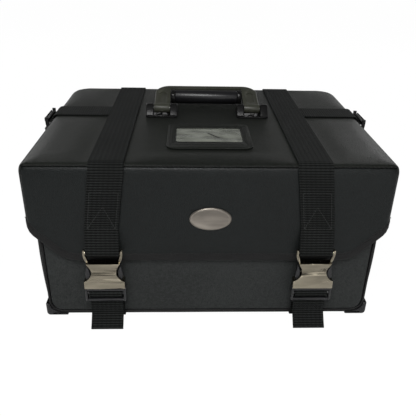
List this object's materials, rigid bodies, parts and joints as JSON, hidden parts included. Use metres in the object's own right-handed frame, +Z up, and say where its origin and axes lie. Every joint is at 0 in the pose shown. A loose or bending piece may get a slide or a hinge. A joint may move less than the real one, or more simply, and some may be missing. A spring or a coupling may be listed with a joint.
{
  "type": "cosmetic case",
  "caption": "Soft-sided cosmetic case with padded leather covers, a lid hinged at the back, webbing straps, side-release buckles and a folding handle.",
  "frame": {"origin": "centre of the footprint on the floor, under the corner protectors", "axes": "+X to the right of someone facing the front flap, -Y towards that person, +Z up"},
  "size_m": [0.436, 0.3405, 0.2281],
  "materials": {
    "board": "plain fibreboard",
    "side_leather": "grained, soft sheen",
    "front_leather": "grained, soft sheen",
    "top_leather": "grained, dull",
    "bottom_cover": "plain, dull",
    "lining_cloth": "plain woven",
    "binding": "smooth, dull",
    "film": "clear, glossy",
    "badge": "satin",
    "protector_plastic": "moulded, dull",
    "handle_plastic": "moulded, satin",
    "grip_plastic": "moulded, satin",
    "steel": "plain",
    "webbing": "ribbed webbing",
    "buckle_plastic": "moulded, glossy"
  },
  "bodies": {
    "base": {"base_wall_board": "board", "base_front_board": "board", "base_bottom_board": "board", "base_side_cover": "side_leather", "base_front_panel": "front_leather", "front_panel_piping": "binding", "base_bottom_cover": "bottom_cover", "base_lining": "lining_cloth", "base_rim_binding": "binding", "corner_protectors": "protector_plastic", "hinge_strip": "binding", "front_left_lower_strap": "webbing", "front_right_lower_strap": "webbing", "side_left_lower_strap": "webbing", "side_right_lower_strap": "webbing", "front_left_tongue": "buckle_plastic", "front_right_tongue": "buckle_plastic", "side_left_tongue": "buckle_plastic", "side_right_tongue": "buckle_plastic"},
    "lid": {"lid_top_panel": "top_leather", "lid_top_board": "board", "lid_lining": "lining_cloth", "lid_side_band": "side_leather", "lid_edge_binding": "binding", "lid_front_flap": "front_leather", "flap_binding": "binding", "window_frame": "binding", "window_film": "film", "badge_plate": "badge", "handle_pins": "steel", "handle_screws": "steel", "handle_backing_plate": "steel", "left_handle_foot": "handle_plastic", "right_handle_foot": "handle_plastic", "left_top_strap": "webbing", "right_top_strap": "webbing", "left_side_strap": "webbing", "right_side_strap": "webbing"},
    "handle": {"handle_frame": "handle_plastic", "handle_grip": "grip_plastic", "handle_collars": "grip_plastic"},
    "front_left_socket": {"front_left_socket": "buckle_plastic"},
    "front_left_arm_a": {"front_left_arm_a": "buckle_plastic"},
    "front_left_arm_b": {"front_left_arm_b": "buckle_plastic"},
    "front_right_socket": {"front_right_socket": "buckle_plastic"},
    "front_right_arm_a": {"front_right_arm_a": "buckle_plastic"},
    "front_right_arm_b": {"front_right_arm_b": "buckle_plastic"},
    "side_left_socket": {"side_left_socket": "buckle_plastic"},
    "side_left_arm_a": {"side_left_arm_a": "buckle_plastic"},
    "side_left_arm_b": {"side_left_arm_b": "buckle_plastic"},
    "side_right_socket": {"side_right_socket": "buckle_plastic"},
    "side_right_arm_a": {"side_right_arm_a": "buckle_plastic"},
    "side_right_arm_b": {"side_right_arm_b": "buckle_plastic"}
  },
  "joints": [
    {"name": "lid_hinge", "type": "hinge", "parent": "base", "child": "lid", "pos_m": [0, 0.17015, 0.131], "axis": [-1, 0, 0], "range_deg": [0, 180], "deforming": ["hinge_strip"]},
    {"name": "handle_fold", "type": "hinge", "parent": "lid", "child": "handle", "pos_m": [0, 0.029, 0.213], "axis": [1, 0, 0], "range_deg": [0, 150]},
    {"name": "front_left_socket_swing", "type": "hinge", "parent": "lid", "child": "front_left_socket", "pos_m": [-0.121, -0.158, 0.101], "axis": [-1, 0, 0], "range_deg": [0, 100]},
    {"name": "front_left_squeeze_a", "type": "hinge", "parent": "base", "child": "front_left_arm_a", "pos_m": [-0.1393, -0.158, 0.0546], "axis": [0, 1, 0], "range_deg": [0, 4.5], "stiffness_Nm_per_rad": 0.05},
    {"name": "front_left_squeeze_b", "type": "hinge", "parent": "base", "child": "front_left_arm_b", "pos_m": [-0.1027, -0.158, 0.0546], "axis": [0, -1, 0], "range_deg": [0, 4.5], "stiffness_Nm_per_rad": 0.05},
    {"name": "front_right_socket_swing", "type": "hinge", "parent": "lid", "child": "front_right_socket", "pos_m": [0.121, -0.158, 0.101], "axis": [-1, 0, 0], "range_deg": [0, 100]},
    {"name": "front_right_squeeze_a", "type": "hinge", "parent": "base", "child": "front_right_arm_a", "pos_m": [0.1027, -0.158, 0.0546], "axis": [0, 1, 0], "range_deg": [0, 4.5], "stiffness_Nm_per_rad": 0.05},
    {"name": "front_right_squeeze_b", "type": "hinge", "parent": "base", "child": "front_right_arm_b", "pos_m": [0.1393, -0.158, 0.0546], "axis": [0, -1, 0], "range_deg": [0, 4.5], "stiffness_Nm_per_rad": 0.05},
    {"name": "side_left_socket_swing", "type": "hinge", "parent": "lid", "child": "side_left_socket", "pos_m": [-0.213, 0.037, 0.199], "axis": [0, 1, 0], "range_deg": [0, 100]},
    {"name": "side_left_squeeze_a", "type": "hinge", "parent": "base", "child": "side_left_arm_a", "pos_m": [-0.213, 0.0553, 0.1526], "axis": [1, 0, 0], "range_deg": [0, 4.5], "stiffness_Nm_per_rad": 0.05},
    {"name": "side_left_squeeze_b", "type": "hinge", "parent": "base", "child": "side_left_arm_b", "pos_m": [-0.213, 0.0187, 0.1526], "axis": [-1, 0, 0], "range_deg": [0, 4.5], "stiffness_Nm_per_rad": 0.05},
    {"name": "side_right_socket_swing", "type": "hinge", "parent": "lid", "child": "side_right_socket", "pos_m": [0.213, 0.037, 0.199], "axis": [0, -1, 0], "range_deg": [0, 100]},
    {"name": "side_right_squeeze_a", "type": "hinge", "parent": "base", "child": "side_right_arm_a", "pos_m": [0.213, 0.0187, 0.1526], "axis": [-1, 0, 0], "range_deg": [0, 4.5], "stiffness_Nm_per_rad": 0.05},
    {"name": "side_right_squeeze_b", "type": "hinge", "parent": "base", "child": "side_right_arm_b", "pos_m": [0.213, 0.0553, 0.1526], "axis": [1, 0, 0], "range_deg": [0, 4.5], "stiffness_Nm_per_rad": 0.05}
  ],
  "couplings": [
    {"joint": "front_left_squeeze_b", "follows": "front_left_squeeze_a", "ratio": 1},
    {"joint": "front_right_squeeze_b", "follows": "front_right_squeeze_a", "ratio": 1},
    {"joint": "side_left_squeeze_b", "follows": "side_left_squeeze_a", "ratio": 1},
    {"joint": "side_right_squeeze_b", "follows": "side_right_squeeze_a", "ratio": 1}
  ]
}
